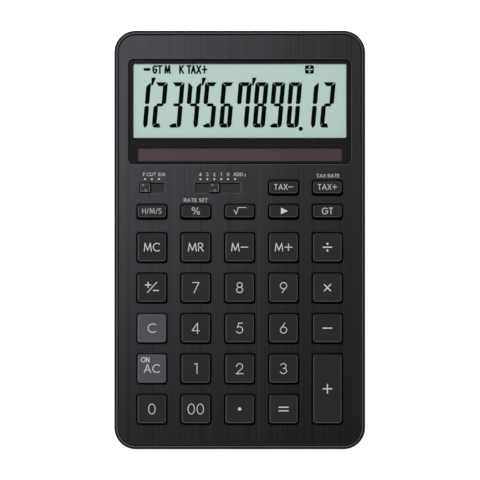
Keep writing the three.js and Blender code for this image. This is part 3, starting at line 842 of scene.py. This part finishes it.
# Where the upper left segment's outer edge stands, from the lower left one's.
UPPER_LEFT = -0.35
# The thousands mark, from the right edge of its digit and the number's foot.
TICK = ((0.0, 21.9), (1.9, 21.9), (1.75, 21.2), (0.8, 18.4), (0.15, 18.4))
POINT = {"gap": 1.1, "drop": 0.55, "diameter": 1.9}

STATUS_Y = 74.75
STATUS_HEIGHT = 3.85
STATUS_PEN = 0.74
STATUS_MINUS = Rect(3.1, 1.25, 0.6, -40.6, STATUS_Y)
# Each status sign with its place and width.
STATUS_SIGNS = (
    ("G", -37.2, 2.25),
    ("T", -35.0, 2.3),
    ("M", -31.65, 2.85),
    ("K", -25.45, 2.2),
    ("T", -22.2, 2.1),
    ("A", -20.3, 2.3),
    ("X", -17.95, 2.25),
    ("+", -15.4, 2.35),
)
DIVIDE_SIGN = Rect(3.85, 3.7, 0.6, 30.6, STATUS_Y)


def upper_stem(outer, inner, base):
    """An upper side segment between its outer and inner edges, cut off aslant at its top."""
    height = DIGIT["height"]
    side = math.copysign(1.0, inner - outer)
    return [
        (outer, base + 1.0),
        (outer + 0.4 * side, base + 0.4),
        (inner - 0.5 * side, base + 0.35),
        (inner, base + 0.85),
        (inner, height - UPPER_BAR - 0.2),
        (outer + 0.3 * side, height - 0.2),
        (outer + 0.1 * side, height - 0.4),
        (outer, height - 0.9),
    ]


def segments():
    """The seven segments of an upright digit."""
    width, height = DIGIT["width"], DIGIT["height"]
    centre = height / 2
    inner = width - STEM
    return {
        "a": [
            (UPPER_LEFT + 0.45, height),
            (UPPER_LEFT + 1.8, height - UPPER_BAR),
            (width - 1.8, height - UPPER_BAR),
            (width - 0.7, height),
        ],
        "b": upper_stem(width, inner, centre),
        "c": [
            (inner, LOWER_BAR),
            (inner + 0.6, 0.0),
            (inner + 0.9, 0.0),
            (width - 0.3, 0.55),
            (width, 1.3),
            (width, centre - 1.0),
            (width - 0.4, centre - 0.4),
            (inner + 0.5, centre - 0.35),
            (inner, centre - 0.85),
        ],
        "d": [
            (0.1, 0.85),
            (1.0, 0.0),
            (inner + 0.4, 0.0),
            (inner - 0.2, LOWER_BAR),
            (1.8, LOWER_BAR),
            (1.0, 1.35),
        ],
        "e": [
            (0.0, 1.05),
            (0.9, 1.5),
            (STEM, 1.75),
            (STEM, centre - 0.85),
            (STEM - 0.5, centre - 0.35),
            (0.4, centre - 0.4),
            (0.0, centre - 1.0),
        ],
        "f": upper_stem(UPPER_LEFT, UPPER_LEFT + STEM, centre),
        "g": [
            (1.0, centre),
            (1.7, centre - MIDDLE_BAR_HALF),
            (width - 1.7, centre - MIDDLE_BAR_HALF),
            (width - 1.0, centre),
            (width - 1.7, centre + MIDDLE_BAR_HALF),
            (1.7, centre + MIDDLE_BAR_HALF),
        ],
    }


# The segments that each digit lights.
LIT = {
    "0": "abcdef",
    "1": "bc",
    "2": "abged",
    "3": "abgcd",
    "4": "fgbc",
    "5": "afgcd",
    "6": "afgcde",
    "7": "fabc",
    "8": "abcdefg",
    "9": "abfgcd",
}


def slanted(points, cell):
    """Segment points of one cell, leaned over and put in place."""
    left = DIGIT["left"] + DIGIT["pitch"] * cell
    return [(left + x + y * DIGIT["slant"], DIGIT["bottom"] + y) for x, y in points]


def number_shapes(digits, marks_after, point_after):
    """The lit segments of a number, its thousands marks and its decimal point, given by their cells."""
    parts = segments()
    shapes = []
    for cell, digit in enumerate(digits):
        shapes += [[slanted(parts[name], cell)] for name in LIT[digit]]
    right = DIGIT["width"]
    for cell in marks_after:
        shapes.append([slanted([(x + right, y) for x, y in TICK], cell)])
    point_x = DIGIT["left"] + DIGIT["pitch"] * point_after + right + POINT["gap"]
    shapes.append(dot(point_x, DIGIT["bottom"] - POINT["drop"], POINT["diameter"]))
    return shapes


def status_shapes():
    """The row of small signs above the number."""
    shapes = [[STATUS_MINUS.points(4)]]
    for sign, x, width in STATUS_SIGNS:
        shapes += shifted(lettering(sign, STATUS_HEIGHT, STATUS_PEN, width), x, STATUS_Y)
    return shapes


def make_display_signs():
    """The dark signs on the display's glass, and the divide sign left light on a dark square."""
    surface = box_mm("lcd_panel")[1].z
    number = number_shapes("123456789012", (0, 3, 6), 9)
    dark = [*number, *status_shapes(), [DIVIDE_SIGN.points(4)]]
    printed("display_digits", dark, surface, LCD_INK)
    light = shifted(divide_shape(2.9, 0.45, 0.95, 0.75), DIVIDE_SIGN.x, DIVIDE_SIGN.y)
    printed("display_divide_sign", light, surface + INK_HEIGHT, LCD_BACK)


# ---- Keys --------------------------------------------------------------------

LETTER_HEIGHT = 3.75
LETTER_PEN = 0.37
DIGIT_HEIGHT = 4.75
DIGIT_PEN = 0.34
SIGN_PEN = 0.5
TAX_HEIGHT = 2.55
SMALL_PEN = 0.26


def plus_shape(x, y, size, pen=SIGN_PEN):
    return [bar(x, y, size, pen), pen_line([(x, y - size / 2), (x, y + size / 2)], pen)]


def slash(x, y, width, height, pen):
    return pen_line([(x - width / 2, y - height / 2), (x + width / 2, y + height / 2)], pen)


def percent_shape():
    ring = arc(0.0, 0.0, 0.55, 0.62, 0, 360, 24)
    upper = pen_line([(x - 1.1, y + 0.85) for x, y in ring], SMALL_PEN)
    lower = pen_line([(x + 1.1, y - 0.85) for x, y in ring], SMALL_PEN)
    return [upper, lower, slash(0.0, 0.0, 2.0, 3.1, SMALL_PEN)]


def square_root_shape():
    tick = [(-2.6, 0.1), (-2.25, 0.25), (-1.5, -1.5), (-0.6, 1.5), (2.9, 1.5)]
    return [pen_line(stroke, SMALL_PEN) for stroke in strokes(tick)]


def sign_change_shape():
    plus = plus_shape(-1.67, 1.2, 2.7, 0.44)
    return [*plus, slash(0.15, 0.2, 4.2, 4.6, 0.38), bar(1.8, -1.25, 2.6, 0.46)]


def word(text, width):
    return lettering(text, LETTER_HEIGHT, LETTER_PEN, width)


def all_clear_shape():
    return word("AC", 7.0) + shifted(lettering("ON", 2.3, 0.34, 3.8), -2.95, 3.85)


def digit_shape(text, width=None):
    return lettering(text, DIGIT_HEIGHT, DIGIT_PEN, width)


LEGENDS = {
    "tax_minus": lettering("TAX-", TAX_HEIGHT, SMALL_PEN, 8.3),
    "tax_plus": lettering("TAX+", TAX_HEIGHT, SMALL_PEN, 8.5),
    "hours_minutes_seconds": lettering("H/M/S", 2.5, 0.2, 8.4),
    "percent": percent_shape(),
    "square_root": square_root_shape(),
    "backspace": [[[(-1.15, -1.45), (1.95, 0.0), (-1.15, 1.45)]]],
    "grand_total": lettering("GT", 2.9, 0.32, 4.8),
    "memory_clear": word("MC", 7.1),
    "memory_recall": word("MR", 6.8),
    "memory_minus": word("M-", 7.4),
    "memory_plus": word("M+", 7.7),
    "divide": divide_shape(4.1, SIGN_PEN, 1.45, 0.95),
    "sign_change": sign_change_shape(),
    "multiply": [slash(0.0, 0.0, 3.0, 3.0, SIGN_PEN), slash(0.0, 0.0, -3.0, 3.0, SIGN_PEN)],
    "clear": lettering("C", 4.0, DIGIT_PEN, 3.7),
    "minus": [bar(0.0, 0.0, 4.2, SIGN_PEN)],
    "all_clear": all_clear_shape(),
    "plus": plus_shape(0.0, 0.0, 4.2),
    "00": digit_shape("00", 7.1),
    "decimal_point": [dot(0.0, 0.0, 1.5)],
    "equals": [bar(0.0, 0.78, 4.4, SIGN_PEN), bar(0.0, -0.78, 4.4, SIGN_PEN)],
    **{digit: digit_shape(digit) for digit in "0123456789"},
}
GREY_KEYS = ("clear", "all_clear")

FLANGE_THICKNESS = 0.8
# A cap's foot: how far inside its hole it stands, and how much it narrows and rises in its first stretch.
FOOT_PLAY = 0.3
FOOT_TAPER = (0.03, 0.4)
# How much shorter a cap's top is than its hole at the front, at the back and, over both sides, across.
FRONT_SLOPE = 0.85
SMALL_FRONT_SLOPE = 1.15
BACK_SLOPE = 0.4
SIDE_SLOPES = 1.2
TOP_CORNER = 1.1
# The slope round a cap's face, in from the top's outline, and where it starts and ends below the face.
FACE_INSET = 0.38
FACE_BACK_INSET = 0.22
TOP_DEPTH = 0.3
SLOPE_DEPTHS = (0.2, 0.02)
SLOPE_ENDS = (0.04, 0.06)


def make_key(node):
    """A cap whose front slopes more than its back, with its edges taken off, and its printed legend."""
    name = node.removeprefix("key_")
    low, high = box_mm(node)
    hole = key_rect(node)
    small = hole.length < hole.width - 1
    front = SMALL_FRONT_SLOPE if small else FRONT_SLOPE
    width, length = hole.width - SIDE_SLOPES, hole.length - front - BACK_SLOPE
    top = Rect(width, length, TOP_CORNER, hole.x, hole.y + (front - BACK_SLOPE) / 2)
    flat_length = top.length - FACE_INSET - FACE_BACK_INSET
    flat_y = top.y + (FACE_INSET - FACE_BACK_INSET) / 2
    flat = top.grown(-FACE_INSET)._replace(length=flat_length, y=flat_y)
    flange = hole.grown(KEY_FLANGE)
    foot = hole.grown(-FOOT_PLAY)
    foot_z = low.z + FLANGE_THICKNESS
    face = high.z - 2 * INK_HEIGHT
    rings = [
        (flange, low.z),
        (flange, foot_z),
        (foot, foot_z),
        (foot.grown(-FOOT_TAPER[0]), foot_z + FOOT_TAPER[1]),
        (top, face - TOP_DEPTH),
        (top.grown(-SLOPE_ENDS[0]), face - SLOPE_DEPTHS[0]),
        (flat.grown(SLOPE_ENDS[1]), face - SLOPE_DEPTHS[1]),
        (flat, face),
    ]
    bm = bmesh.new()
    skin(bm, [(rect.points(), z) for rect, z in rings])
    grey = name in GREY_KEYS
    # The chamfer round each cap's face takes the edge plastic: a painted highlight line.
    plastic, edge = (GREY_KEY_PLASTIC, GREY_KEY_EDGE_HIGHLIGHT) if grey else (KEY_PLASTIC, KEY_EDGE_HIGHLIGHT)
    cap = piece_from("cap_" + name, bm, plastic, node, 15, edge)
    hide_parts(node)
    legend = shifted(LEGENDS[name], top.x, top.y)
    printed("legend_" + name, legend, face, WHITE_INK, node)


# ---- Slide switches and the plate's print ------------------------------------

KNOB_CORNER = 0.45
KNOB_LIFT = 0.1
# The knob's side and the dish in its face, as insets and heights from the face up.
KNOB_PROFILE = ((0.06, -0.5), (0.3, -0.05), (0.36, 0.0), (0.5, 0.0), (0.61, -0.07))
# The two ends of each raised dash on a knob's face, from the knob's middle.
DASHES = (((-1.0, 1.5), (-0.5, 0.7)), ((0.0, -0.6), (0.5, -1.4)))
DASH_HALF_WIDTH = 0.27
DASH_HEIGHT = 0.17


def make_knob(name):
    """A steep-sided knob with a shallow dish in its face, and two raised dashes across the dish. The dashes'
    slopes and the dish's rim take a much lighter plastic: painted glints.
    """
    node = name + "_knob"
    rect = rect_of(node, KNOB_CORNER)
    dish = box_mm(node)[1].z - DASH_HEIGHT
    face = dish - KNOB_PROFILE[-1][1]
    rings = [(rect.points(), SLOT_FLOOR + KNOB_LIFT)]
    rings += [(rect.grown(-inset).points(), face + height) for inset, height in KNOB_PROFILE]
    bm = bmesh.new()
    skin(bm, rings)
    for start, end in DASHES:
        add_dash(bm, Vector((rect.x, rect.y)), Vector(start), Vector(end), dish)
    outward(bm)
    knob = piece_from(node + "_grip", bm, KNOB_PLASTIC, node, 15, KNOB_EDGE_HIGHLIGHT)
    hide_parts(node)


def add_dash(bm, centre, start, end, z):
    """A low ridge between two points, with its ends cut square."""
    along = (end - start).normalized()
    side = Vector((-along.y, along.x)) * DASH_HALF_WIDTH
    crest, left, right = [
        [bm.verts.new((*(centre + point + offset), z + rise)) for point in (start, end)]
        for offset, rise in ((side * 0, DASH_HEIGHT), (side, 0.0), (-side, 0.0))
    ]
    bm.faces.new((left[0], left[1], crest[1], crest[0]))
    bm.faces.new((right[1], right[0], crest[0], crest[1]))
    bm.faces.new((right[0], left[0], crest[0]))
    bm.faces.new((left[1], right[1], crest[1]))
    bm.faces.new((left[1], left[0], right[0], right[1]))


SWITCH_STEP = 3.03
DOTS_Y = 26.6
DOT_DIAMETER = 0.78
LABELS_Y = 28.7
LABEL_HEIGHT = 1.5
LABEL_PEN = 0.18
RATE_LABEL_HEIGHT = 1.6
# The small 2 after ADD, from the last stop.
SUBSCRIPT = {"height": 0.95, "pen": 0.162, "x": 4.4, "drop": 0.35}


def switch_stops(name, count):
    """Where the middle of a knob stands at each of its stops, from the left."""
    slot = SLOTS[SWITCHES.index(name)]
    first = slot.x - SWITCH_STEP * (count - 1) / 2
    return [first + SWITCH_STEP * stop for stop in range(count)]


def make_plate_print():
    """A dot and a label at each stop of both switches, and the two labels over the keys."""
    stops = switch_stops("rounding", 3)
    decimal_stops = switch_stops("decimal", 6)
    last = decimal_stops[-1]
    shapes = [dot(x, DOTS_Y, DOT_DIAMETER) for x in stops + decimal_stops]
    labels = [("F", stops[0] - 0.4, 0.85), ("CUT", stops[1] - 0.3, 4.1), ("5/4", stops[2] + 1.2, 3.1)]
    labels += [(digit, x, None) for digit, x in zip("43210", decimal_stops)]
    labels.append(("ADD", last + 1.35, 4.1))
    for text, x, width in labels:
        shapes += shifted(lettering(text, LABEL_HEIGHT, LABEL_PEN, width), x, LABELS_Y)
    subscript = lettering("2", SUBSCRIPT["height"], SUBSCRIPT["pen"])
    shapes += shifted(subscript, last + SUBSCRIPT["x"], LABELS_Y - SUBSCRIPT["drop"])
    shapes += shifted(lettering("TAX RATE", RATE_LABEL_HEIGHT, LABEL_PEN, 10.1), 38.65, 28.05)
    shapes += shifted(lettering("RATE SET", RATE_LABEL_HEIGHT, LABEL_PEN, 10.4), -19.2, 17.4)
    printed("plate_print", shapes, box_mm("face_plate")[1].z, WHITE_INK)


# ---- Pieces that keep their CAD shape ----------------------------------------

KEPT = {
    "lcd_panel": LCD_BACK,
    "lcd_connector": SILICONE,
    "solar_cell": SOLAR_FILM,
    "solar_lead": FILM,
    "main_board": BOARD_MASK,
    "processor_chip": RESIN,
    "dome_sheet": SILICONE,
    "coin_cell": CELL_STEEL,
    "battery_contact_negative": SPRING_STEEL,
    "battery_contact_positive": SPRING_STEEL,
    "rounding_wiper": SPRING_STEEL,
    "decimal_wiper": SPRING_STEEL,
}


def finish_kept_pieces():
    for node, material in KEPT.items():
        frame["nodes"][node].material_slots[0].material = material


# ---- Camera and light --------------------------------------------------------

VIEW_WIDTH = 210.16
VIEW_CENTRE = (0.15, -0.04)
LENS = 200.0
SENSOR = 36.0
# How bright the studio is at each height, as the sine of the elevation. The first band is below the horizon.
SKY = (
    (-1.0, 0.7),
    (-0.3, 0.6),
    (-0.1, 0.06),
    (0.0, 0.06),
    (0.2, 1.0),
    (0.44, 1.0),
    (0.54, 0.1),
    (0.7, 0.0),
    (1.0, 0.0),
)
# The way towards the brighter side of the studio, as long as the share by which it is brighter.
BRIGHT_SIDE = (-0.15, -0.05, 0.0)
FLOOR_SIZE = 4000.0
FLOOR_GLOW = 0.93


def make_camera():
    """Straight above the face, from far enough that the sides hardly show."""
    camera = bpy.data.cameras.new("camera")
    camera.lens = LENS
    camera.sensor_width = SENSOR
    holder = bpy.data.objects.new("camera", camera)
    height = VIEW_WIDTH * LENS / SENSOR + box_mm("face_plate")[1].z
    holder.location = Vector((*VIEW_CENTRE, height)) * MM
    bpy.context.scene.collection.objects.link(holder)
    bpy.context.scene.camera = holder


def make_light(name, location, size, power):
    """A square soft light aimed at the middle of the face. Location and size are in millimetres."""
    lamp = bpy.data.lights.new(name, "AREA")
    lamp.size = size * MM
    lamp.energy = power
    holder = bpy.data.objects.new(name, lamp)
    holder.location = Vector(location) * MM
    holder.rotation_euler = Vector(location).to_track_quat("Z", "Y").to_euler()
    holder.visible_camera = False
    bpy.context.scene.collection.objects.link(holder)
    return holder


def make_world():
    """A white backdrop for the camera. As light it is a ring of soft boxes, with a dark ceiling over it."""
    world = bpy.data.worlds.new("studio")
    bpy.context.scene.world = world
    world.use_nodes = True
    nodes, links = world.node_tree.nodes, world.node_tree.links
    direction = nodes.new("ShaderNodeTexCoord")
    split = nodes.new("ShaderNodeSeparateXYZ")
    links.new(direction.outputs["Generated"], split.inputs["Vector"])
    ring = nodes.new("ShaderNodeFloatCurve")
    curve = ring.mapping.curves[0]
    curve.points[0].location = (0.0, SKY[0][1])
    curve.points[1].location = (1.0, SKY[-1][1])
    for height, strength in SKY[1:-1]:
        curve.points.new((height + 1) / 2, strength)
    for point in curve.points:
        point.handle_type = "VECTOR"
    ring.mapping.update()
    height = nodes.new("ShaderNodeMapRange")
    height.inputs["From Min"].default_value = -1.0
    links.new(split.outputs["Z"], height.inputs["Value"])
    links.new(height.outputs["Result"], ring.inputs["Value"])
    side = nodes.new("ShaderNodeVectorMath")
    side.operation = "DOT_PRODUCT"
    side.inputs[1].default_value = BRIGHT_SIDE
    links.new(direction.outputs["Generated"], side.inputs[0])
    strength = nodes.new("ShaderNodeMath")
    strength.operation = "MULTIPLY_ADD"
    links.new(side.outputs["Value"], strength.inputs[0])
    links.new(ring.outputs["Value"], strength.inputs[1])
    links.new(ring.outputs["Value"], strength.inputs[2])
    studio = nodes["Background"]
    studio.inputs["Color"].default_value = (1.0, 1.0, 1.0, 1.0)
    links.new(strength.outputs["Value"], studio.inputs["Strength"])
    backdrop = nodes.new("ShaderNodeBackground")
    backdrop.inputs["Color"].default_value = (1.0, 1.0, 1.0, 1.0)
    path = nodes.new("ShaderNodeLightPath")
    mix = nodes.new("ShaderNodeMixShader")
    links.new(path.outputs["Is Camera Ray"], mix.inputs["Fac"])
    links.new(studio.outputs["Background"], mix.inputs[1])
    links.new(backdrop.outputs["Background"], mix.inputs[2])
    links.new(mix.outputs["Shader"], nodes["World Output"].inputs["Surface"])


def make_floor():
    """A plain white floor, lit well enough that hardly a shadow shows on it."""
    half = FLOOR_SIZE * MM / 2
    bm = bmesh.new()
    corners = [bm.verts.new((x * half, y * half, 0.0)) for x, y in ((-1, -1), (1, -1), (1, 1), (-1, 1))]
    bm.faces.new(corners)
    mesh = bpy.data.meshes.new("floor")
    bm.to_mesh(mesh)
    bm.free()
    floor = bpy.data.objects.new("floor", mesh)
    bpy.context.scene.collection.objects.link(floor)
    look = Look("floor_white", (0.85, 0.85, 0.85), 0.9)
    look.surface.inputs["Emission Color"].default_value = (1.0, 1.0, 1.0, 1.0)
    look.surface.inputs["Emission Strength"].default_value = FLOOR_GLOW
    mesh.materials.append(look.material)
    floor.visible_glossy = False


# ---- Everything --------------------------------------------------------------

make_camera()
make_world()
make_floor()
make_light("key_light", (-350, 590, 980), 240, 16.4).visible_glossy = False
make_light("gloss_light", (-230, 188, 845), 280, 1.25).visible_diffuse = False
bpy.context.scene.view_settings.view_transform = "Standard"

make_face_plate()
make_upper_case()
make_web()
make_lower_case()
for corner in CORNERS:
    make_foot(corner)
    make_screw("case_screw_" + corner, SCREW_RADIUS)
make_screw("cover_screw", COVER_SCREW_RADIUS)
make_battery_cover()
make_display()
make_display_signs()
for key in KEYS:
    make_key(key)
for switch in SWITCHES:
    make_knob(switch)
make_plate_print()
finish_kept_pieces()
